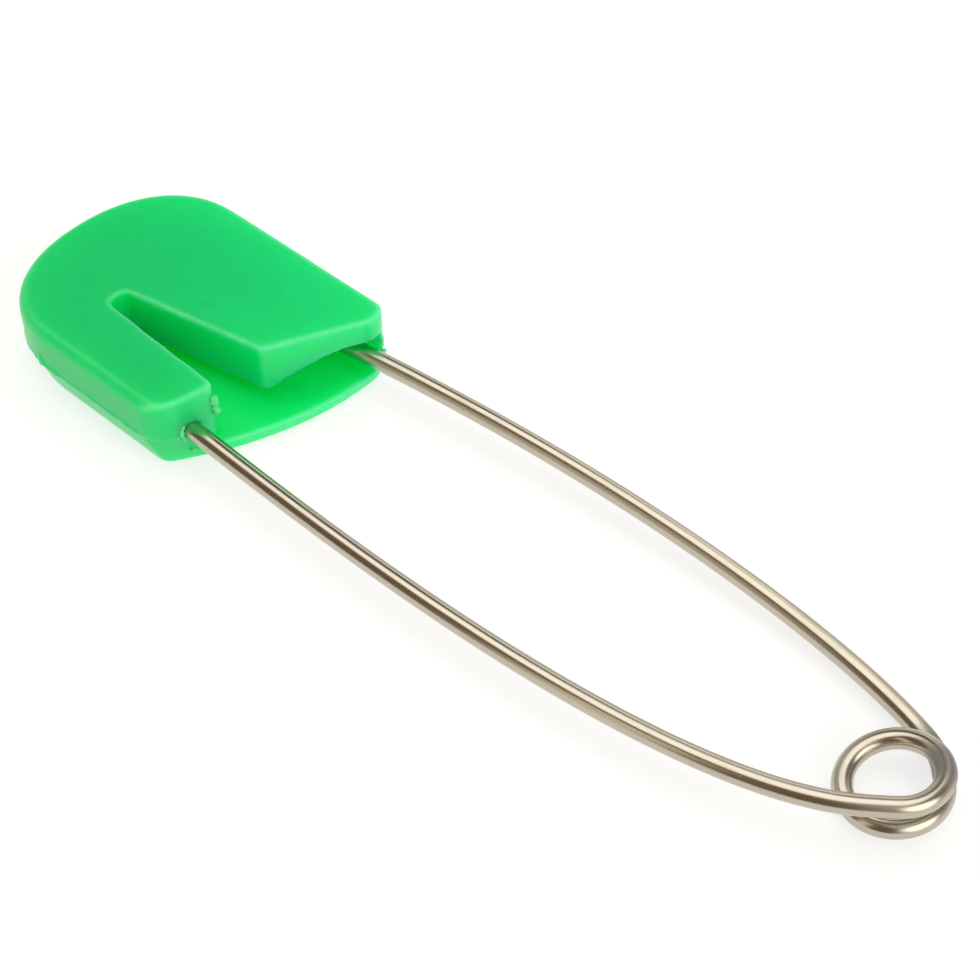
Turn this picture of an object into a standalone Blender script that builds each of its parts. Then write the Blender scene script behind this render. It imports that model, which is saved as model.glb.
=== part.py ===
# Safety pin of the nappy kind: one moulded plastic head and one sprung steel wire.
#
# The wire is anchored in a post on the near side of the head, runs out as the fixed leg,
# winds about a turn and a quarter as the spring coil, and comes back as the needle leg,
# whose point lies in the pocket of the head behind a hanging lip.
#
# Frame: metres, +X from the head to the coil, +Y to the needle's side, +Z up through the
# top of the head. The origin is on the head's flat back, on its middle line and half way
# along the head; the lowest layer of the coil lies just above the level of that back.

import bpy
import bmesh
from math import ceil, copysign, cos, pi, radians, sin, tan
from mathutils import Vector

MM = 0.001

# Driving sizes of the whole pin
OVERALL_LENGTH = 55.3 * MM
ORIGIN_INSET = 8.6 * MM  # from the round end of the head to the origin
SEAT_GAP = 0.3 * MM  # between pieces that touch
CUT_OVERRUN = 2.0 * MM  # how far every cut runs past the solid

# The wire
WIRE_DIAMETER = 1.0 * MM
WIRE_HEIGHT = 2.3 * MM  # its centre line in the head, above the back
LEG_STEPS = 22
POINT_LENGTH = 4.0 * MM
POINT_TIP_DIAMETER = 0.12 * MM
POINT_INSET = 6.3 * MM  # from the round end of the head to the tip
POINT_SIDE_INSET = 3.5 * MM  # of the tip from the head's far side
ANCHOR_INSET = 4.3 * MM  # from the round end of the head to the end of the fixed leg
ANCHOR_SIDE_INSET = 2.46 * MM  # of that end from the head's near side

# The spring coil, wound from its needle end, which is low, to its fixed end
COIL_RADIUS = 2.18 * MM  # of the centre line
COIL_SPREAD = 0.21 * MM  # how much wider it starts
COIL_SPREAD_ANGLE = 120.0  # degrees over which that draws in
COIL_OFFSET = 1.985 * MM  # of its centre from the middle of the head, to the needle's side
COIL_START_HEIGHT = 0.5 * MM  # before the tilt
COIL_RISE = 1.98 * MM
COIL_EASE = 0.257  # how much less it rises at first
COIL_TILT_OUT = 0.169  # rise of the coil's plane away from the head and to the needle's side
COIL_TILT_SIDE = 0.09
COIL_TURNS_ROUND = 1.5  # were both legs to leave it along -X
COIL_STEPS_A_TURN = 24
TANGENT_STEP = 0.01  # of an angle, to find the direction in which a leg leaves
NEEDLE_EXIT_ANGLE = 45.4  # degrees between each leg and -X where it leaves the coil
FIXED_EXIT_ANGLE = 36.1

# How each leg bows outwards: the handles of one smooth curve from the coil to the head
NEEDLE_COIL_HANDLE = 2.13 * MM
NEEDLE_HEAD_HANDLE = 29.8 * MM
NEEDLE_HEAD_ANGLE = 11.1
FIXED_COIL_HANDLE = 10.98 * MM
FIXED_HEAD_HANDLE = 9.72 * MM
FIXED_HEAD_ANGLE = 1.78

# The moulded head
HEAD_WIDTH = 13.5 * MM
HEAD_THICKNESS = 4.65 * MM
NOSE_LENGTH = 5.6 * MM  # of the rounded end, up to where the sides are straight
NOSE_FULLNESS = 2.2  # 2 would make it an ellipse
NOSE_STEPS = 32
PARTING_HEIGHT = 2.2 * MM  # of the mould line round the sides, above the back
TOP_EDGE_RADIUS = 0.55 * MM
BACK_EDGE_RADIUS = 0.4 * MM
EDGE_STEPS = 4
BACK_INSET = 0.6 * MM  # how far the sides lean in from the mould line to the back
PLATE_THICKNESS = 0.9 * MM
HOOD_FAR_REACH = 18.1 * MM  # reaches are measured from the round end
HOOD_LIP_REACH = 14.7 * MM
POST_INNER_REACH = 14.8 * MM
POST_OUTER_REACH = 14.0 * MM
PLATE_FAR_REACH = 17.7 * MM  # of the back plate's front, at the mould line's height
PLATE_MIDDLE_REACH = 17.0 * MM
PLATE_NEAR_REACH = 13.6 * MM
PLATE_FRONT_STEPS = 8
FAR_CORNER_RADIUS = 1.3 * MM
LIP_CORNER_RADIUS = 0.5 * MM
POST_INNER_RADIUS = 0.4 * MM
POST_OUTER_RADIUS = 1.9 * MM
PLATE_CORNER_RADIUS = 3.0 * MM
CORNER_STEPS = 6
ARC_ROOM_SHARE = 1.1  # of a corner's radius, kept free of other points beside its arc
SIDE_RELIEF = 0.3 * MM  # keeps a cut that runs out along a side clear of it
RELIEF_LENGTH = 6.0 * MM

# The slot that the needle comes out through, and the lip beside it
SLOT_REACH = 6.1 * MM
SLOT_END_WIDTH = 1.15 * MM
SLOT_END_RADIUS = 0.5 * MM
POST_END_WIDTH = 3.9 * MM  # from the near side to the slot, at the slot's closed end
POST_MOUTH_WIDTH = 3.5 * MM
LIP_OFFSET = 0.0 * MM  # of the lip's slot face at its mouth from the middle of the head
LIP_WIDTH = 0.45 * MM
LIP_RISE = 0.85 * MM  # of the lip's lower edge above the plate
POCKET_REACH = 4.9 * MM  # of the pocket's closed end
POCKET_END_WALL = 1.9 * MM  # of the far side's wall there
POCKET_MOUTH_WALL = 0.55 * MM
POCKET_FLAT_WIDTH = 2.1 * MM
POCKET_CURVE_STEPS = 6
ROOF_FULLNESS = 1.6  # 1 would make its roof slope straight down to the lip

GREEN = (0.012, 0.60, 0.12, 1.0)
NICKEL = (0.74, 0.71, 0.64, 1.0)

# Places worked out from the driving sizes
wire_radius = WIRE_DIAMETER / 2
coil_turns = COIL_TURNS_ROUND - (NEEDLE_EXIT_ANGLE + FIXED_EXIT_ANGLE) / 360
head_end_x = -ORIGIN_INSET
coil_x = head_end_x + OVERALL_LENGTH - COIL_RADIUS - wire_radius
coil_y = COIL_OFFSET
coil_z = COIL_START_HEIGHT + COIL_RISE / 2
half_width = HEAD_WIDTH / 2
pocket_roof = WIRE_HEIGHT + wire_radius + SEAT_GAP
lip_edge = PLATE_THICKNESS + LIP_RISE
front_past = head_end_x + max(PLATE_FAR_REACH, HOOD_FAR_REACH) + CUT_OVERRUN


def collection(name):
    made = bpy.data.collections.new(name)
    bpy.context.scene.collection.children.link(made)
    return made


def material(name, colour, roughness, metallic):
    made = bpy.data.materials.new(name)
    made.use_nodes = True
    shader = made.node_tree.nodes["Principled BSDF"]
    shader.inputs["Base Color"].default_value = colour
    shader.inputs["Roughness"].default_value = roughness
    shader.inputs["Metallic"].default_value = metallic
    made.diffuse_color = colour
    return made


def link_mesh(name, mesh, place):
    made = bpy.data.objects.new(name, mesh)
    place.objects.link(made)
    return made


def curve_to_mesh(curve_object):
    """The curve's solid as a welded mesh object that takes the curve's place."""
    graph = bpy.context.evaluated_depsgraph_get()
    mesh = bpy.data.meshes.new_from_object(curve_object.evaluated_get(graph))
    shape = bmesh.new()
    shape.from_mesh(mesh)
    bmesh.ops.remove_doubles(shape, verts=shape.verts, dist=WIRE_DIAMETER / 1000)
    bmesh.ops.recalc_face_normals(shape, faces=shape.faces)
    shape.to_mesh(mesh)
    shape.free()
    name = curve_object.name
    place = curve_object.users_collection[0]
    matrix = curve_object.matrix_world.copy()
    bpy.data.objects.remove(curve_object)
    made = link_mesh(name, mesh, place)
    made.matrix_world = matrix
    return made


def slab(name, outline, low, high, place):
    """A flat outline in X and Y, filled between two heights."""
    curve = bpy.data.curves.new(name, "CURVE")
    curve.dimensions = "2D"
    curve.fill_mode = "BOTH"
    curve.extrude = (high - low) / 2
    spline = curve.splines.new("POLY")
    spline.points.add(len(outline) - 1)
    for point, (x, y) in zip(spline.points, outline):
        point.co = (x, y, 0, 1)
    spline.use_cyclic_u = True
    made = link_mesh(name, curve, place)
    made.location.z = (low + high) / 2
    bpy.context.view_layer.update()
    return curve_to_mesh(made)


def cut(target, cutter):
    cutter.hide_render = True
    cutter.display_type = "WIRE"
    step = target.modifiers.new(cutter.name, "BOOLEAN")
    step.operation = "DIFFERENCE"
    step.solver = "EXACT"
    step.object = cutter


def rounded(corners, steps):
    """An outline through (x, y, radius) corners, each turned by an arc of its radius."""
    outline = []
    for index, (x, y, radius) in enumerate(corners):
        corner = Vector((x, y))
        if not radius:
            outline.append(corner)
            continue
        before = (Vector(corners[index - 1][:2]) - corner).normalized()
        after = (Vector(corners[(index + 1) % len(corners)][:2]) - corner).normalized()
        half = before.angle(after) / 2
        centre = corner + (before + after).normalized() * radius / sin(half)
        start = corner + before * radius / tan(half) - centre
        turn = start.angle_signed(corner + after * radius / tan(half) - centre)
        for step in range(steps + 1):
            angle = -turn * step / steps
            turned = (
                start.x * cos(angle) - start.y * sin(angle),
                start.x * sin(angle) + start.y * cos(angle),
            )
            outline.append(centre + Vector(turned))
    return outline


def nose_outline(inset):
    """The head's plan without its front, drawn in by an inset, from side to side."""
    half = half_width - inset
    points = [(front_past, half)]
    for step in range(NOSE_STEPS + 1):
        angle = pi / 2 + pi * step / NOSE_STEPS
        back_share = abs(cos(angle)) ** (2 / NOSE_FULLNESS)
        side_share = copysign(abs(sin(angle)) ** (2 / NOSE_FULLNESS), sin(angle))
        x = head_end_x + NOSE_LENGTH - (NOSE_LENGTH - inset) * back_share
        points.append((x, half * side_share))
    points.append((front_past, -half))
    return points


def head_section():
    """Height and inset of each ring of the head, from the back up to the top."""
    rings = []
    for step in range(EDGE_STEPS + 1):
        angle = pi / 2 * step / EDGE_STEPS
        inset = BACK_INSET + BACK_EDGE_RADIUS * (1 - sin(angle))
        rings.append((BACK_EDGE_RADIUS * (1 - cos(angle)), inset))
    rings.append((PARTING_HEIGHT, 0))
    for step in range(EDGE_STEPS + 1):
        angle = pi / 2 * step / EDGE_STEPS
        height = HEAD_THICKNESS - TOP_EDGE_RADIUS * (1 - sin(angle))
        rings.append((height, TOP_EDGE_RADIUS * (1 - cos(angle))))
    return rings


def loft_head(place):
    """The uncut head: its plan drawn in ring by ring, a loft between unlike sections."""
    shape = bmesh.new()
    rings = []
    for height, inset in head_section():
        rings.append([shape.verts.new((x, y, height)) for x, y in nose_outline(inset)])
    for low, high in zip(rings, rings[1:]):
        count = len(low)
        for index in range(count):
            after = (index + 1) % count
            shape.faces.new((low[index], low[after], high[after], high[index]))
    shape.faces.new(rings[0])
    shape.faces.new(rings[-1])
    bmesh.ops.recalc_face_normals(shape, faces=shape.faces)
    mesh = bpy.data.meshes.new("moulded_head")
    shape.to_mesh(mesh)
    shape.free()
    return link_mesh("moulded_head", mesh, place)


def front_shares():
    """Places across the plate's front: its two corners, and its curve clear of their arcs."""
    first = 1 - FAR_CORNER_RADIUS * ARC_ROOM_SHARE / half_width
    last = PLATE_CORNER_RADIUS * ARC_ROOM_SHARE / half_width - 1
    steps = range(PLATE_FRONT_STEPS + 1)
    return [1, *(first + (last - first) * step / PLATE_FRONT_STEPS for step in steps), -1]


def front_waste():
    """Outline ahead of the back plate, whose front is one shallow curve."""
    near, middle, far = PLATE_NEAR_REACH, PLATE_MIDDLE_REACH, PLATE_FAR_REACH
    side = half_width + SIDE_RELIEF
    corners = [(head_end_x + far - RELIEF_LENGTH, side, 0)]
    for share in front_shares():
        reach = middle + share * (far - near) / 2 + share**2 * ((far + near) / 2 - middle)
        radius = {1: FAR_CORNER_RADIUS, -1: PLATE_CORNER_RADIUS}.get(share, 0)
        corners.append((head_end_x + reach, share * half_width, radius))
    corners.append((head_end_x + near - RELIEF_LENGTH, -side, 0))
    corners.append((front_past + CUT_OVERRUN, -side - CUT_OVERRUN, 0))
    corners.append((front_past + CUT_OVERRUN, side + CUT_OVERRUN, 0))
    return corners


def lean_back(made):
    """Lean the lower half's front in towards the back, as its sides lean."""
    for vertex in made.data.vertices:
        height = vertex.co.z + made.location.z
        vertex.co.x -= BACK_INSET * (PARTING_HEIGHT - height) / PARTING_HEIGHT


def slot_waste():
    """Outline ahead of the hood and the post, with the tapered slot between them."""
    side = half_width + SIDE_RELIEF
    end_y = POST_END_WIDTH - half_width
    mouth_y = POST_MOUTH_WIDTH - half_width
    return [
        (head_end_x + HOOD_FAR_REACH - RELIEF_LENGTH, side, 0),
        (head_end_x + HOOD_FAR_REACH, half_width, FAR_CORNER_RADIUS),
        (head_end_x + HOOD_LIP_REACH, LIP_OFFSET, LIP_CORNER_RADIUS),
        (head_end_x + SLOT_REACH, end_y + SLOT_END_WIDTH, SLOT_END_RADIUS),
        (head_end_x + SLOT_REACH, end_y, SLOT_END_RADIUS),
        (head_end_x + POST_INNER_REACH, mouth_y, POST_INNER_RADIUS),
        (head_end_x + POST_OUTER_REACH, -half_width, POST_OUTER_RADIUS),
        (head_end_x + POST_OUTER_REACH - RELIEF_LENGTH, -side, 0),
        (front_past + CUT_OVERRUN, -side - CUT_OVERRUN, 0),
        (front_past + CUT_OVERRUN, side + CUT_OVERRUN, 0),
    ]


def lip_face_y(x):
    """Where the lip's slot face lies at a place along the head."""
    end_y = POST_END_WIDTH - half_width + SLOT_END_WIDTH
    slope = (LIP_OFFSET - end_y) / (HOOD_LIP_REACH - SLOT_REACH)
    return LIP_OFFSET + slope * (x - head_end_x - HOOD_LIP_REACH)


def pocket_side_y(x):
    """Where the pocket's outer side lies, inside a wall that thins towards the mouth."""
    slope = (POCKET_END_WALL - POCKET_MOUTH_WALL) / (HOOD_FAR_REACH - POCKET_REACH)
    return half_width - POCKET_MOUTH_WALL + slope * (x - head_end_x - HOOD_FAR_REACH)


def pocket_section(x):
    """Section of the pocket under the hood, with its roof curving down to the lip."""
    lip_y = lip_face_y(x)
    inner_y = lip_y + LIP_WIDTH
    side_y = pocket_side_y(x)
    flat_y = side_y - POCKET_FLAT_WIDTH
    points = [(lip_y - wire_radius, PLATE_THICKNESS), (side_y, PLATE_THICKNESS)]
    points.append((side_y, pocket_roof))
    for step in range(POCKET_CURVE_STEPS + 1):
        across_share = step / POCKET_CURVE_STEPS
        drop_share = across_share**ROOF_FULLNESS
        y = flat_y - (flat_y - inner_y) * across_share
        points.append((y, pocket_roof - (pocket_roof - lip_edge) * drop_share))
    points.append((lip_y - wire_radius, lip_edge))
    return points


def pocket_cutter(place):
    """The pocket as a loft between its closed end and a section ahead of the hood."""
    shape = bmesh.new()
    rings = []
    for x in (head_end_x + POCKET_REACH, head_end_x + HOOD_FAR_REACH):
        rings.append([shape.verts.new((x, y, z)) for y, z in pocket_section(x)])
    count = len(rings[0])
    for index in range(count):
        after = (index + 1) % count
        shape.faces.new((rings[0][index], rings[0][after], rings[1][after], rings[1][index]))
    shape.faces.new(rings[0])
    shape.faces.new(rings[1])
    bmesh.ops.recalc_face_normals(shape, faces=shape.faces)
    mesh = bpy.data.meshes.new("pocket_cutter")
    shape.to_mesh(mesh)
    shape.free()
    return link_mesh("pocket_cutter", mesh, place)


def bezier(start, start_handle, end_handle, end, share):
    rest = 1 - share
    return (
        start * rest**3
        + start_handle * 3 * rest**2 * share
        + end_handle * 3 * rest * share**2
        + end * share**3
    )


def coil_point(angle):
    """A point of the coil's centre line, at an angle wound on from the needle's end."""
    turned = pi / 2 - radians(NEEDLE_EXIT_ANGLE) - angle
    left_share = max(0, 1 - angle / radians(COIL_SPREAD_ANGLE))
    radius = COIL_RADIUS + COIL_SPREAD * left_share**2
    out = radius * cos(turned)
    aside = radius * sin(turned)
    wound_share = angle / (2 * pi * coil_turns)
    risen_share = wound_share - COIL_EASE * wound_share * (1 - wound_share)
    z = COIL_START_HEIGHT + COIL_RISE * risen_share + COIL_TILT_OUT * out + COIL_TILT_SIDE * aside
    return Vector((coil_x + out, coil_y + aside, z))


def leaving(side):
    """Where the winding ends, and the direction in which that leg leaves it.

    The needle's side is 1 and the fixed leg's is -1.
    """
    angle = 0 if side > 0 else 2 * pi * coil_turns
    end = coil_point(angle)
    return end, (end - coil_point(angle + side * TANGENT_STEP)).normalized()


def coil_path():
    """The winding, with a straight run of one wire diameter at each end."""
    steps = ceil(COIL_STEPS_A_TURN * coil_turns)
    needle_end, needle_way = leaving(1)
    fixed_end, fixed_way = leaving(-1)
    points = [needle_end + needle_way * WIRE_DIAMETER]
    points += [coil_point(2 * pi * coil_turns * step / steps) for step in range(steps + 1)]
    points.append(fixed_end + fixed_way * WIRE_DIAMETER)
    return points


def leg_path(side, end, coil_handle, head_handle, head_angle):
    """A leg from just clear of the coil's straight end to its own end in the head."""
    coil_end, way = leaving(side)
    start = coil_end + way * (WIRE_DIAMETER + SEAT_GAP)
    angle = radians(head_angle)
    start_handle = start + way * coil_handle
    end_handle = end + Vector((cos(angle), side * sin(angle), 0)) * head_handle
    shares = [step / LEG_STEPS for step in range(LEG_STEPS + 1)]
    return [bezier(start, start_handle, end_handle, end, share) for share in shares]


def wire(name, points, resolution, place, radius=wire_radius, shares=None):
    """A closed tube along the points, thinned at each point to a share of its radius."""
    curve = bpy.data.curves.new(name, "CURVE")
    curve.dimensions = "3D"
    curve.fill_mode = "FULL"
    curve.bevel_depth = radius
    curve.bevel_resolution = resolution
    curve.use_fill_caps = True
    spline = curve.splines.new("POLY")
    spline.points.add(len(points) - 1)
    for index, (point, place_at) in enumerate(zip(spline.points, points)):
        point.co = (*place_at, 1)
        point.radius = shares[index] if shares else 1
    made = link_mesh(name, curve, place)
    bpy.context.view_layer.update()
    return curve_to_mesh(made)


def point_shares(points):
    """Shares of the wire's radius that grind the needle's last stretch to a point."""
    tip_share = POINT_TIP_DIAMETER / WIRE_DIAMETER
    shares = []
    for point in points:
        ground = min(1, (point - points[-1]).length / POINT_LENGTH)
        shares.append(tip_share + (1 - tip_share) * sin(pi / 2 * ground))
    return shares


def least_gap(points):
    """The least clear distance of a wound wire to itself, past its own next stretch."""
    spans = [(b - a).length for a, b in zip(points, points[1:])]
    along = [sum(spans[:index]) for index in range(len(points))]
    best = OVERALL_LENGTH
    for first, a in enumerate(points):
        for second in range(first + 1, len(points)):
            if along[second] - along[first] > pi * COIL_RADIUS:
                best = min(best, (points[second] - a).length - WIRE_DIAMETER)
    return best


def set_origin(made, centre):
    """Move an object's origin without moving its mesh in the world."""
    made.data.transform(made.matrix_world)
    made.matrix_world.identity()
    for vertex in made.data.vertices:
        vertex.co -= centre
    made.location = centre


def smooth(made, angle):
    made.data.shade_smooth()
    made.data.set_sharp_from_angle(angle=radians(angle))


for old in list(bpy.data.objects):
    bpy.data.objects.remove(old)

parts = collection("safety_pin")
cutters = collection("cutters")

green_plastic = material("green_plastic", GREEN, 0.32, 0.0)
nickel_plate = material("nickel_plate", NICKEL, 0.2, 1.0)

head = loft_head(parts)
below = -CUT_OVERRUN
above = HEAD_THICKNESS + CUT_OVERRUN
plate_cutter = slab(
    "plate_front_cutter", rounded(front_waste(), CORNER_STEPS), below, PARTING_HEIGHT, cutters
)
lean_back(plate_cutter)
slot_cutter = slab(
    "slot_cutter", rounded(slot_waste(), CORNER_STEPS), PLATE_THICKNESS, above, cutters
)
cut(head, plate_cutter)
cut(head, slot_cutter)
cut(head, pocket_cutter(cutters))

anchor = Vector((head_end_x + ANCHOR_INSET, ANCHOR_SIDE_INSET - half_width, WIRE_HEIGHT))
tip = Vector((head_end_x + POINT_INSET, half_width - POINT_SIDE_INSET, WIRE_HEIGHT))
fixed_points = leg_path(-1, anchor, FIXED_COIL_HANDLE, FIXED_HEAD_HANDLE, FIXED_HEAD_ANGLE)
needle_points = leg_path(1, tip, NEEDLE_COIL_HANDLE, NEEDLE_HEAD_HANDLE, NEEDLE_HEAD_ANGLE)
coil_points = coil_path()

bore_points = [point for point in fixed_points if point.x < front_past]
bore_points.append(anchor + (fixed_points[-1] - fixed_points[-2]).normalized() * SEAT_GAP)
cut(head, wire("bore_cutter", bore_points, 2, cutters, radius=wire_radius + SEAT_GAP))

fixed_leg = wire("fixed_leg", fixed_points, 2, parts)
coil = wire("spring_coil", coil_points, 1, parts)
needle = wire("needle_leg", needle_points, 2, parts, shares=point_shares(needle_points))

centre = Vector((coil_x, coil_y, coil_z))
set_origin(coil, centre)
set_origin(needle, centre)
for made in (head, fixed_leg, coil, needle):
    made.data.materials.clear()
    made.data.materials.append(green_plastic if made is head else nickel_plate)
smooth(head, 40)
for made in (fixed_leg, coil, needle):
    smooth(made, 60)

print(f"coil: least gap of the wire to itself {least_gap(coil_points) / MM:.2f} mm")
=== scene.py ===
# Safety pin: a soft-edged green moulding and a polished nickel wire
import math
import bmesh
import bpy
import numpy as np
from mathutils import Matrix, Vector, noise


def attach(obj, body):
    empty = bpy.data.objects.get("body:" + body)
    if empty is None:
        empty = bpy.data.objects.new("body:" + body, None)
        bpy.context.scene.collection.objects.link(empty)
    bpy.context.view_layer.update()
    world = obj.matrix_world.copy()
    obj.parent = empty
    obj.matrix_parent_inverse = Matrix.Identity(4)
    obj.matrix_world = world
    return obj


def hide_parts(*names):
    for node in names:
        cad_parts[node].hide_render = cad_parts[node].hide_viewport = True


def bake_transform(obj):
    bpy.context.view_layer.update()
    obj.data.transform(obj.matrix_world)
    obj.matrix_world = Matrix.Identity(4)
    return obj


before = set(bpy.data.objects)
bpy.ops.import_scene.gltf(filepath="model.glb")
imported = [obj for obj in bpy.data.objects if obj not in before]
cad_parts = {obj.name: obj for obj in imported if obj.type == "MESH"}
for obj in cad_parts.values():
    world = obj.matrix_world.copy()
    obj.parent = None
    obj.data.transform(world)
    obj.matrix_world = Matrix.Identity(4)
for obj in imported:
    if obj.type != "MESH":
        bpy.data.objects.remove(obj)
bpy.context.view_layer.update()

mm = 0.001

camera = {
    "target": (19.76, 2.265, 2.3),  # mm
    "azimuth": -47.92,
    "elevation": 48.0,
    "distance": 100.99,  # mm
    "lens": 75.3,
}


def addCamera(look):
    turn, lift = math.radians(look["azimuth"]), math.radians(look["elevation"])
    back = Vector((math.cos(lift) * math.cos(turn), math.cos(lift) * math.sin(turn), math.sin(lift)))
    data = bpy.data.cameras.new("camera")
    data.lens = look["lens"]
    data.clip_start = 2 * mm
    made = bpy.data.objects.new("camera", data)
    bpy.context.scene.collection.objects.link(made)
    made.location = (Vector(look["target"]) + back * look["distance"]) * mm
    made.rotation_euler = back.to_track_quat("Z", "Y").to_euler()
    bpy.context.scene.camera = made


addCamera(camera)
print("camera set")


# sums and products of sockets turn into Math nodes
class Value:
    def __init__(self, graph, socket):
        self.graph = graph
        self.socket = socket

    def __add__(self, other):
        return self.graph.maths("ADD", self, other)

    def __radd__(self, other):
        return self.graph.maths("ADD", other, self)

    def __sub__(self, other):
        return self.graph.maths("SUBTRACT", self, other)

    def __rsub__(self, other):
        return self.graph.maths("SUBTRACT", other, self)

    def __mul__(self, other):
        return self.graph.maths("MULTIPLY", self, other)

    def __rmul__(self, other):
        return self.graph.maths("MULTIPLY", other, self)


class Graph:
    def __init__(self, tree):
        self.tree = tree
        tree.nodes.clear()

    def node(self, kind, settings=None, inputs=None, output=0):
        made = self.tree.nodes.new(kind)
        for name, value in (settings or {}).items():
            setattr(made, name, value)
        for name, value in (inputs or {}).items():
            if isinstance(value, Value):
                self.tree.links.new(value.socket, made.inputs[name])
            else:
                made.inputs[name].default_value = value
        return Value(self, made.outputs[output]) if len(made.outputs) else made

    def maths(self, operation, first, second):
        return self.node("ShaderNodeMath", {"operation": operation}, {0: first, 1: second})

    def smooth(self, value, low, high):
        return self.node("ShaderNodeMapRange", {"interpolation_type": "SMOOTHSTEP"},
                         {"Value": value, "From Min": low, "From Max": high})

    def mix(self, share, first, second):
        return self.node("ShaderNodeMix", {"data_type": "RGBA"}, {0: share, 6: first, 7: second}, 2)

    def noise(self, place, scale, detail=3.0, rough=0.5):
        return self.node("ShaderNodeTexNoise", None,
                         {"Vector": place, "Scale": scale, "Detail": detail, "Roughness": rough})

    def stretched(self, place, scales):
        return self.node("ShaderNodeMapping", None, {"Vector": place, "Scale": scales})

    def bump(self, height, distance, normal=None):
        inputs = {"Height": height, "Strength": 1.0, "Distance": distance}
        if normal:
            inputs["Normal"] = normal
        return self.node("ShaderNodeBump", None, inputs)

    def finish(self, shader, output="ShaderNodeOutputMaterial"):
        self.node(output, None, {"Surface": shader})


def newMaterial(name):
    made = bpy.data.materials.new(name)
    made.use_nodes = True
    return made, Graph(made.node_tree)


plastic = {
    "green": (0.003, 0.755, 0.216, 1.0),
    "deepGreen": (0.002, 0.725, 0.198, 1.0),
    "shadedThickGreen": (0.002, 0.630, 0.168, 1.0),  # painted shade: the solid nose and post are coloured darker, as less light shines through them
    # painted highlight of the rims
    "rimHighlightGreen": (0.150, 0.820, 0.360, 1.0),
    # the flash's paler green, partly its own thin plastic and partly painted light shining through it
    "paleLitFlashGreen": (0.240, 0.920, 0.420, 1.0),
    "speckGreen": (0.300, 0.860, 0.420, 1.0),
    "markGreen": (0.004, 0.360, 0.070, 1.0),
    "markPlace": (1.55, 0.49, 4.65),  # mm, of the faint round mark on top
    "markRadius": 0.42,
    "rough": 0.27,
}


def plasticMaterial(name, look, paleness, depth):
    made, graph = newMaterial(name)
    place = graph.node("ShaderNodeTexCoord", output=3)
    swirl = graph.noise(graph.stretched(place, (140, 230, 300)), 1.0, 3.0, 0.55)
    fine = graph.noise(place, 2600, 2.0, 0.6)
    grain = graph.noise(place, 9000, 2.0, 0.5)
    edge = graph.node("ShaderNodeAttribute", {"attribute_name": "rimHighlightAndDustShare"}, output=2)
    markPlace = Vector(look["markPlace"]) * mm
    markRadius = look["markRadius"] * mm
    offset = graph.node("ShaderNodeVectorMath", {"operation": "DISTANCE"}, {0: place, 1: markPlace}, 1)
    markDisc = 1 - graph.smooth(offset, markRadius * 0.8, markRadius)
    specks = graph.smooth(grain, 0.64, 0.74) * graph.smooth(edge, 0.4, 0.9)
    streaks = graph.noise(graph.stretched(place, (300, 5200, 2600)), 1.0, 2.0, 0.5)
    scratch = graph.smooth(streaks, 0.70, 0.80)
    brokenHighlight = graph.noise(place, 1100, 2.0, 0.6)
    colour = graph.mix(graph.smooth(swirl, 0.35, 0.65), look["deepGreen"], look["green"])
    shineThrough = graph.node("ShaderNodeAttribute", {"attribute_name": "shineThroughShare"}, output=2)
    # painted shade: darker where the plastic is thick, lighter where thin walls are lit through
    colour = graph.mix(shineThrough, look["shadedThickGreen"], colour)
    # painted highlight along the upward-facing rims, broken up by noise
    colour = graph.mix(edge * (brokenHighlight * 1.1 + 0.25), colour, look["rimHighlightGreen"])
    # paler flash, partly its own colour and partly painted light shining through the thin plastic
    colour = graph.mix(paleness, colour, look["paleLitFlashGreen"])
    colour = graph.mix(specks * 0.35, colour, look["speckGreen"])
    colour = graph.mix(markDisc * 0.10, colour, look["markGreen"])
    rough = look["rough"] + fine * 0.08 + scratch * 0.05
    low = graph.bump(swirl, 0.02 * mm)
    mid = graph.bump(fine + scratch * -0.15 + specks * 1.5, 0.0012 * mm, low)
    high = graph.bump(grain + markDisc * -2.0, 0.0006 * mm, mid)
    shader = graph.node("ShaderNodeBsdfPrincipled", None, {
        "Base Color": colour, "Roughness": rough, "Normal": high, "IOR": 1.49,
        "Specular IOR Level": 0.38,
        "Subsurface Weight": depth, "Subsurface Radius": (0.10, 1.0, 0.40),
        "Subsurface Scale": 4.0 * mm})
    graph.finish(shader)
    return made


nickel = {
    "bright": (0.515, 0.470, 0.380, 1.0),
    "dull": (0.420, 0.380, 0.300, 1.0),
    "rough": 0.16,
    "darkened": (0.300, 0.270, 0.240, 1.0),
    "darkenedRuns": [(46.0, 49.6), (62.0, 64.2)],  # mm along the wire, made darker, duller and rougher
    "darkenedFade": 0.6,  # mm
}


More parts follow.
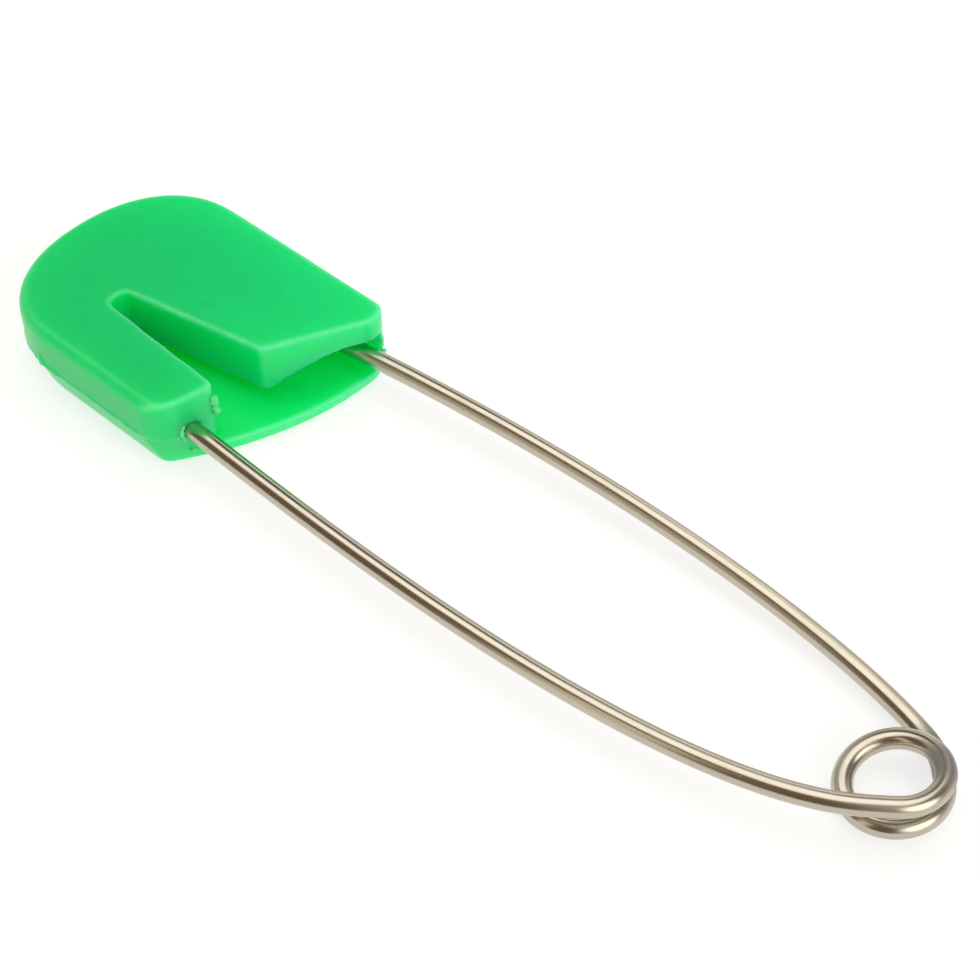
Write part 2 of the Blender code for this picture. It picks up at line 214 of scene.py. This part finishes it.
def nickelMaterial(name, look):
    made, graph = newMaterial(name)
    along = graph.node("ShaderNodeAttribute", {"attribute_name": "straightened"}, output=1)
    lines = graph.noise(graph.stretched(along, (260, 9000, 9000)), 1.0, 3.0, 0.6)
    cloud = graph.noise(graph.stretched(along, (420, 900, 900)), 1.0, 3.0, 0.6)
    pit = graph.smooth(graph.noise(along, 5200, 2.0, 0.6), 0.70, 0.76)
    tarnish = graph.smooth(cloud, 0.48, 0.78)
    run = graph.node("ShaderNodeSeparateXYZ", None, {0: along})
    darkened = 0.0
    fade = look["darkenedFade"]
    # darker, rougher runs along the wire
    for start, end in look["darkenedRuns"]:
        begun = graph.smooth(run, (start - fade) * mm, (start + fade) * mm)
        ended = graph.smooth(run, (end - fade) * mm, (end + fade) * mm)
        darkened = begun * (1 - ended) + darkened
    colour = graph.mix(tarnish * 0.35 + pit * 0.3, look["bright"], look["dull"])
    colour = graph.mix(darkened, colour, look["darkened"])
    rough = look["rough"] + lines * 0.08 + tarnish * 0.06 + pit * 0.1 + darkened * 0.2
    normal = graph.bump(lines, 0.002 * mm)
    normal = graph.bump(pit * -1.0, 0.002 * mm, normal)
    shader = graph.node("ShaderNodeBsdfPrincipled", None, {
        "Base Color": colour, "Roughness": rough, "Metallic": 1.0, "Normal": normal})
    graph.finish(shader)
    return made


mouldedGreen = plasticMaterial("mouldedGreen", plastic, 0.0, 0.95)
greenFlash = plasticMaterial("thinGreenFlash", plastic, 0.40, 0.0)
polishedNickel = nickelMaterial("polishedNickel", nickel)
print("materials made")


def newPiece(name, shape, finish, body):
    bmesh.ops.recalc_face_normals(shape, faces=shape.faces)
    mesh = bpy.data.meshes.new(name)
    shape.to_mesh(mesh)
    shape.free()
    mesh.materials.append(finish)
    mesh.shade_smooth()
    made = bpy.data.objects.new(name, mesh)
    bpy.context.scene.collection.objects.link(made)
    if body:
        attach(made, body)
    return made


# the wire runs as the solids' does: needle leg, coil, fixed leg
wire = {
    "radius": 0.5,  # mm, as every length here
    "sides": 32,
    "headEnd": -8.6,
    "length": 55.3,
    "height": 2.3,
    "coilRadius": 2.18,
    "coilSpread": 0.21,
    "spreadAngle": 120.0,
    "coilSide": 1.985,
    "coilLow": 0.5,
    "coilRise": 1.98,
    "riseEase": 0.257,
    "coilTilt": (0.169, 0.09),
    "exits": {1: 45.4, -1: 36.1},  # 1 is the needle's side, -1 the fixed leg's
    "handles": {1: (2.13, 29.8, 11.1), -1: (10.98, 9.72, 1.78)},
    "ends": {1: (6.3, 3.25), -1: (4.3, -4.29)},
    "pointLength": 4.0,
    "tipRadius": 0.05,
    "joinRun": 1.0,  # straight end of the coil
    "joinGap": 0.3,
    "step": 0.2,
    "coilStepShare": 0.6,
    "easings": 10,
    "turnShare": 0.95,  # of the coil's rise, at which the axis ends lie
}
coilTurns = 1.5 - sum(wire["exits"].values()) / 360
coilCentre = Vector((
    wire["headEnd"] + wire["length"] - wire["coilRadius"] - wire["radius"],
    wire["coilSide"],
    wire["coilLow"] + wire["coilRise"] / 2,
))


def coilPoint(angle):
    turned = math.pi / 2 - math.radians(wire["exits"][1]) - angle
    spread = max(0, 1 - angle / math.radians(wire["spreadAngle"])) ** 2
    radius = wire["coilRadius"] + wire["coilSpread"] * spread
    out, aside = radius * math.cos(turned), radius * math.sin(turned)
    wound = angle / (math.tau * coilTurns)
    rise = wire["coilRise"] * (wound - wire["riseEase"] * wound * (1 - wound) - 0.5)
    return coilCentre + Vector((out, aside, rise + wire["coilTilt"][0] * out + wire["coilTilt"][1] * aside))


def coilEnd(side):
    angle = 0 if side > 0 else math.tau * coilTurns
    end = coilPoint(angle)
    return end, (end - coilPoint(angle + side * 0.01)).normalized()


def legPoint(side, share):
    end, way = coilEnd(side)
    near, far, slant = wire["handles"][side]
    inset, offset = wire["ends"][side]
    slant = math.radians(slant)
    start = end + way * (wire["joinRun"] + wire["joinGap"])
    finish = Vector((wire["headEnd"] + inset, offset, wire["height"]))
    first = start + way * near
    second = finish + Vector((math.cos(slant), side * math.sin(slant), 0)) * far
    rest = 1 - share
    return start * rest**3 + first * 3 * rest**2 * share + second * 3 * rest * share**2 + finish * share**3


def evenly(points, step):
    spans = np.linalg.norm(np.diff(points, axis=0), axis=1)
    along = np.concatenate([[0], np.cumsum(spans)])
    wanted = np.linspace(0, along[-1], max(2, round(along[-1] / step) + 1))
    return np.stack([np.interp(wanted, along, points[:, axis]) for axis in range(3)], -1)


def wholeWire():
    shares = np.linspace(0, 1, 2000)
    needle = np.array([legPoint(1, share) for share in shares[::-1]])
    fixed = np.array([legPoint(-1, share) for share in shares])
    coil = np.array([coilPoint(angle) for angle in np.linspace(0, math.tau * coilTurns, 1500)])
    joins = [np.array(end + way * wire["joinRun"]) for end, way in (coilEnd(1), coilEnd(-1))]
    stretches = [
        evenly(np.vstack([needle, joins[0]]), wire["step"]),
        evenly(np.vstack([joins[0], coil, joins[1]]), wire["step"] * wire["coilStepShare"]),
        evenly(np.vstack([joins[1], fixed]), wire["step"]),
    ]
    line = np.vstack([stretches[0], stretches[1][1:], stretches[2][1:]])
    for _ in range(wire["easings"]):  # softens the bend where the stretches meet
        line[1:-1] = line[1:-1] * 0.5 + (line[:-2] + line[2:]) * 0.25
    cuts = len(stretches[0]) - 1, len(stretches[0]) + len(stretches[1]) - 2
    return line * mm, cuts


def framesAlong(line):
    ways = np.gradient(line, axis=0)
    ways /= np.linalg.norm(ways, axis=1)[:, None]
    side = np.cross(ways[0], (0, 0, 1.0))
    frames = []
    for way in ways:
        side = side - way * (side @ way)
        side /= np.linalg.norm(side)
        frames.append((side.copy(), np.cross(way, side), way))
    return frames


line, (needleCut, fixedCut) = wholeWire()
frames = framesAlong(line)
runs = np.concatenate([[0], np.cumsum(np.linalg.norm(np.diff(line, axis=0), axis=1))])
ground = np.clip(runs / (wire["pointLength"] * mm), 0, 1)
radii = (wire["tipRadius"] + (wire["radius"] - wire["tipRadius"]) * np.sin(math.pi / 2 * ground)) * mm


def sweepTube(name, first, last, body):
    shape = bmesh.new()
    straightened = shape.verts.layers.float_vector.new("straightened")
    rings = []
    for index in range(first, last + 1):
        side, up, way = (Vector(axis) for axis in frames[index])
        matrix = Matrix((side, up, way)).transposed().to_4x4()
        matrix.translation = Vector(line[index])
        ring = bmesh.ops.create_circle(shape, cap_ends=False, radius=radii[index],
                                       segments=wire["sides"], matrix=matrix)["verts"]
        for vert in ring:  # where this place lies on the wire before it was bent
            out = vert.co - matrix.translation
            vert[straightened] = (runs[index], out.dot(side), out.dot(up))
        rings.append(list(dict.fromkeys(edge for vert in ring for edge in vert.link_edges)))
    for one, two in zip(rings, rings[1:]):
        bmesh.ops.bridge_loops(shape, edges=one + two)
    for ring in (rings[0], rings[-1]):
        bmesh.ops.edgeloop_fill(shape, edges=ring)
    piece = newPiece(name, shape, polishedNickel, body)
    piece.data.set_sharp_from_angle(angle=math.radians(50))
    return piece


needleWire = sweepTube("needleWire", 0, needleCut, "needle")
coilWire = sweepTube("coilWire", needleCut, fixedCut, None)
fixedWire = sweepTube("fixedWire", fixedCut, len(line) - 1, "head_and_fixed_leg")
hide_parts("needle_leg")
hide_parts("spring_coil")
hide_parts("fixed_leg")
# the coil's axis, from its fixed, upper end down to the needle's end; its ends are worked out but not used
coilUp = Vector((-wire["coilTilt"][0], -wire["coilTilt"][1], 1)) * wire["coilRise"] / 2
(coilCentre + coilUp * wire["turnShare"]) * mm
(coilCentre - coilUp * wire["turnShare"]) * mm
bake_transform(coilWire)
print("wire made:", len(line), "rings")


headLook = {
    "voxel": 0.11,  # mm, as every length here
    "smoothing": 12,
    "bulgeSteps": 17,
    "shareSteps": 3,
    "easing": 0.6,  # how far each step draws a point to its neighbours
    "rimBulge": (0.020, 0.085),  # where a rim's painted highlight starts and ends
    "partingHeight": 2.2,
    "flangeReach": 0.10,
    "flangeHeight": 0.11,
    "raggedScale": 1400,
    "flangeSides": 5.6,  # the sides beyond this from the middle, and the nose, carry it
    "noseEnd": -3.6,
    "ripple": 0.012,
    "rippleScale": 260,
    "frontStart": 4.0,  # front faces lie beyond this
    "shadeLean": (0.5, 1.0, 0.0),
    "shadeRun": (-4.5, 7.5),  # along that lean, from the thick nose and post to the thin hood, over which the painted shade lightens
    "borePlace": (5.87, -4.735, 2.255),  # where the fixed wire leaves the post
    "boreWay": (1.0, -0.038, -0.006),
    "boreSection": [(0.48, -2.4), (0.48, -0.02), (1.0, -0.02), (1.0, -2.4)],  # closes round the wire
    "boreSteps": 40,
    "faceSlope": 0.2286,  # of the post's front, in plan
    "burrs": [  # place, reach round it, how far it stands out, and which way
        ((6.20, -3.30, 3.05), 0.30, 0.24, (0.7, 0.7, 0.0)),
        ((8.20, -0.78, 0.85), 0.26, 0.16, (1.0, -0.2, 0.0)),
        ((-3.75, -6.75, 2.45), 0.40, 0.12, (0.0, -1.0, 0.0)),
        ((5.30, -6.55, 2.20), 0.40, 0.08, (0.7, -0.7, 0.0)),
    ],
}


def applied(piece):
    graph = bpy.context.evaluated_depsgraph_get()
    mesh = bpy.data.meshes.new_from_object(piece.evaluated_get(graph))
    piece.modifiers.clear()
    piece.data = mesh


def readPoints(mesh, name):
    values = np.empty(len(mesh.vertices) * 3)
    mesh.vertices.foreach_get(name, values)
    return values.reshape(-1, 3)


def noiseAt(places, scale, shift=0.0):
    return np.array([noise.noise(Vector(place) * scale + Vector((shift, 0, 0))) for place in places])


# the plastic that closes round the wire, which the solid's clearance bore leaves out
def addBoreRing(shape, look):
    points = [shape.verts.new((radius, 0, out)) for radius, out in look["boreSection"]]
    edges = [shape.edges.new((one, two)) for one, two in zip(points, points[1:] + points[:1])]
    bmesh.ops.spin(shape, geom=points + edges, cent=(0, 0, 0), axis=(0, 0, 1), angle=math.tau,
                   steps=look["boreSteps"], use_merge=True)
    bmesh.ops.remove_doubles(shape, verts=shape.verts, dist=0.001)
    turn = Vector(look["boreWay"]).to_track_quat("Z", "Y").to_matrix()
    for vert in shape.verts:
        front = vert.co.z > -0.5
        vert.co = turn @ vert.co
        if front:
            vert.co.x += look["faceSlope"] * vert.co.y
        vert.co = (vert.co + Vector(look["borePlace"])) * mm


def easedShares(values, pairs, degree, easing, steps):
    for _ in range(steps):
        total = np.zeros_like(values)
        np.add.at(total, pairs[:, 0], values[pairs[:, 1]])
        np.add.at(total, pairs[:, 1], values[pairs[:, 0]])
        values = values * (1 - easing) + total / degree * easing
    return values


def makeHead(look):
    shape = bmesh.new()
    addBoreRing(shape, look)
    shape.from_mesh(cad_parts["moulded_head"].data)
    bmesh.ops.remove_doubles(shape, verts=shape.verts, dist=0.001 * mm)
    head = newPiece("mouldedHead", shape, mouldedGreen, "head_and_fixed_leg")
    remesh = head.modifiers.new("evenSkin", "REMESH")
    remesh.mode = "VOXEL"
    remesh.voxel_size = look["voxel"] * mm
    soften = head.modifiers.new("softMouldEdges", "SMOOTH")
    soften.factor = 0.5
    soften.iterations = look["smoothing"]
    applied(head)
    mesh = head.data
    places, normals = readPoints(mesh, "co"), readPoints(mesh, "normal")

    # how far each place bulges past its surroundings: the rims of the moulding, which carry a painted
    # highlight and the dust specks
    pairs = np.empty(len(mesh.edges) * 2, int)
    mesh.edges.foreach_get("vertices", pairs)
    pairs = pairs.reshape(-1, 2)
    degree = np.bincount(pairs.ravel(), minlength=len(places))
    eased = easedShares(places, pairs, degree[:, None], look["easing"], look["bulgeSteps"])
    bulge = ((places - eased) * normals).sum(1) / mm
    rimHighlightAndDust = np.interp(bulge, look["rimBulge"], (0, 1))
    rimHighlightAndDust *= np.clip(1 + normals[:, 2] * 2, 0, 1)  # the painted highlight and the specks leave out rims that face down
    upright = np.abs(normals[:, 2]) < 0.6
    sides = np.abs(places[:, 1]) > look["flangeSides"] * mm
    outer = upright & (sides | (places[:, 0] < look["noseEnd"] * mm))

    # the slot's walls count as thin too, since light reaches them from both sides; thin places are painted
    # lighter, for the light that shines through them
    inner = upright & ~outer & ((normals[:, 0] < 0.7) | (places[:, 0] < look["frontStart"] * mm))
    run = np.interp(places @ np.array(look["shadeLean"]) / mm, look["shadeRun"], (0, 1))
    shineThrough = np.maximum(run * run * (3 - 2 * run), inner)
    for name, share in (("rimHighlightAndDustShare", rimHighlightAndDust), ("shineThroughShare", shineThrough)):
        share = easedShares(share, pairs, degree, look["easing"], look["shareSteps"])
        made = mesh.attributes.new(name, "FLOAT", "POINT")
        made.data.foreach_set("value", share.astype(np.float32))

    # the ragged flange at the parting line, slight waves in the skin, and the burrs
    height = (places[:, 2] / mm - look["partingHeight"]) / look["flangeHeight"]
    ragged = noiseAt(places, look["raggedScale"])
    ridge = np.exp(-(height**2)) * (0.65 + 0.6 * ragged) * outer
    push = ridge * look["flangeReach"] + noiseAt(places, look["rippleScale"], 3.0) * look["ripple"]
    places = places + normals * push[:, None] * mm
    for centre, reach, standing, way in look["burrs"]:
        away = np.linalg.norm(places / mm - np.array(centre), axis=1) / reach
        share = np.clip(1 - away, 0, 1) ** 0.7 * np.clip(0.75 + 1.3 * ragged, 0.1, 1.4)
        places = places + np.array(Vector(way).normalized()) * (share * standing * mm)[:, None]
    mesh.vertices.foreach_set("co", places.ravel())
    mesh.update()
    print("head made:", len(mesh.polygons), "faces")
    return head


head = makeHead(headLook)
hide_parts("moulded_head")


# torn flash: small uneven lumps left on the moulding, each a place and its reach in mm
flash = {
    "cornerFlash": [((6.12, -3.42, 3.62), (0.20, 0.24, 0.30)), ((6.16, -3.36, 2.90), (0.22, 0.24, 0.32)),
                    ((6.08, -3.34, 3.26), (0.20, 0.14, 0.26))],
    "boreFlash": [((5.66, -5.34, 2.30), (0.12, 0.13, 0.28)), ((5.68, -5.26, 1.86), (0.12, 0.12, 0.18)),
                  ((5.79, -4.88, 0.90), (0.10, 0.20, 0.12)), ((5.68, -5.24, 2.72), (0.10, 0.12, 0.14))],
    "farCornerFlash": [((8.52, 6.20, 2.25), (0.08, 0.10, 0.55)), ((8.56, 6.24, 1.66), (0.12, 0.22, 0.16))],
}


def makeFlash(name, lumps):
    shape = bmesh.new()
    for place, reach in lumps:
        middle = Vector(place)
        matrix = Matrix.Translation(middle) @ Matrix.Diagonal((*reach, 1))
        for vert in bmesh.ops.create_icosphere(shape, subdivisions=3, radius=1, matrix=matrix)["verts"]:
            torn = 0.50 * noise.noise(vert.co * 3.4) + 0.18 * noise.noise(vert.co * 8.0)
            vert.co = middle + (vert.co - middle) * (1 + torn)
    bmesh.ops.scale(shape, vec=(mm, mm, mm), verts=shape.verts[:])
    return newPiece(name, shape, greenFlash, "head_and_fixed_leg")


for flashName, lumps in flash.items():
    makeFlash(flashName, lumps)
print("flash made")


studio = {
    "floorTone": 0.37,
    "floorGlow": 0.70,
    "floorFade": (0.07, 0.40),  # m, where the painted pool of light round the piece starts and ends to grey
    "farTone": 0.45,
    "room": (0.63, 0.61, 0.58, 1.0),
    "zones": [  # direction, where it ends and is full in degrees, tone
        ((-0.15, -0.93, 0.33), 58, 40, (0.19, 0.135, 0.085, 1.0)),
        ((0.50, 0.42, 0.76), 36, 14, (0.28, 0.25, 0.22, 1.0)),
        ((0.86, -0.12, 0.50), 34, 18, (2.45, 2.38, 2.28, 1.0)),
        ((-0.38, 0.72, 0.57), 24, 9, (1.45, 1.42, 1.36, 1.0)),
        ((-0.24, 0.10, 0.965), 35, 22, (1.90, 1.84, 1.78, 1.0)),
        ((-0.55, 0.50, 0.67), 21, 9, (0.07, 0.07, 0.07, 1.0)),
    ],
    "panel": (-112, -106, -97, -88),  # degrees round from +X, of a pale standing strip
    "panelTone": (1.05, 0.96, 0.80, 1.0),
    "panelTop": (0.70, 0.80),  # sines of the heights between which it fades out
}


def addFloor(look):
    shape = bmesh.new()
    bmesh.ops.create_grid(shape, x_segments=1, y_segments=1, size=3.0)
    bmesh.ops.translate(shape, vec=(0, 0, -0.02 * mm), verts=shape.verts)
    mesh = bpy.data.meshes.new("floor")
    shape.to_mesh(mesh)
    shape.free()
    made = bpy.data.objects.new("floor", mesh)
    bpy.context.scene.collection.objects.link(made)
    finish, graph = newMaterial("paleFloor")
    place = graph.node("ShaderNodeTexCoord", output=3)
    away = graph.node("ShaderNodeVectorMath", {"operation": "LENGTH"}, {0: place}, 1)
    # painted pool of light: the floor's colour and glow are full round the piece and greyer beyond
    near = 1 - graph.smooth(away, *look["floorFade"]) * (1 - look["farTone"])
    colour = graph.mix(near * look["floorTone"], (0, 0, 0, 1), (1, 1, 1, 1))
    diffuse = graph.node("ShaderNodeBsdfDiffuse", None, {"Color": colour})
    # the floor glows and lights the piece, as a light table
    glow = graph.node("ShaderNodeEmission", None, {"Strength": near * look["floorGlow"]})
    graph.finish(graph.node("ShaderNodeAddShader", None, {0: diffuse, 1: glow}))
    mesh.materials.append(finish)


def addWorld(look):
    world = bpy.data.worlds.new("studio")
    bpy.context.scene.world = world
    world.use_nodes = True
    graph = Graph(world.node_tree)
    way = graph.node("ShaderNodeTexCoord")

    def towards(direction, wide, core):  # angles from the direction, in degrees
        dot = graph.node("ShaderNodeVectorMath", {"operation": "DOT_PRODUCT"},
                         {0: way, 1: Vector(direction).normalized()}, 1)
        return graph.smooth(dot, math.cos(math.radians(wide)), math.cos(math.radians(core)))

    across, along, up = (graph.node("ShaderNodeSeparateXYZ", None, {0: way}, axis) for axis in range(3))
    turn = graph.maths("ARCTAN2", along, across)
    edges = [math.radians(angle) for angle in look["panel"]]
    panel = graph.smooth(turn, edges[0], edges[1]) * (1 - graph.smooth(turn, edges[2], edges[3]))
    colour = look["room"]
    for direction, wide, core, tone in look["zones"][:1]:
        colour = graph.mix(towards(direction, wide, core), colour, tone)
    colour = graph.mix(panel * (1 - graph.smooth(up, *look["panelTop"])), colour, look["panelTone"])
    for direction, wide, core, tone in look["zones"][1:]:
        colour = graph.mix(towards(direction, wide, core), colour, tone)
    graph.finish(graph.node("ShaderNodeBackground", None, {"Color": colour}), "ShaderNodeOutputWorld")


addFloor(studio)
addWorld(studio)
bpy.context.scene.view_settings.view_transform = "Standard"
print("studio set")
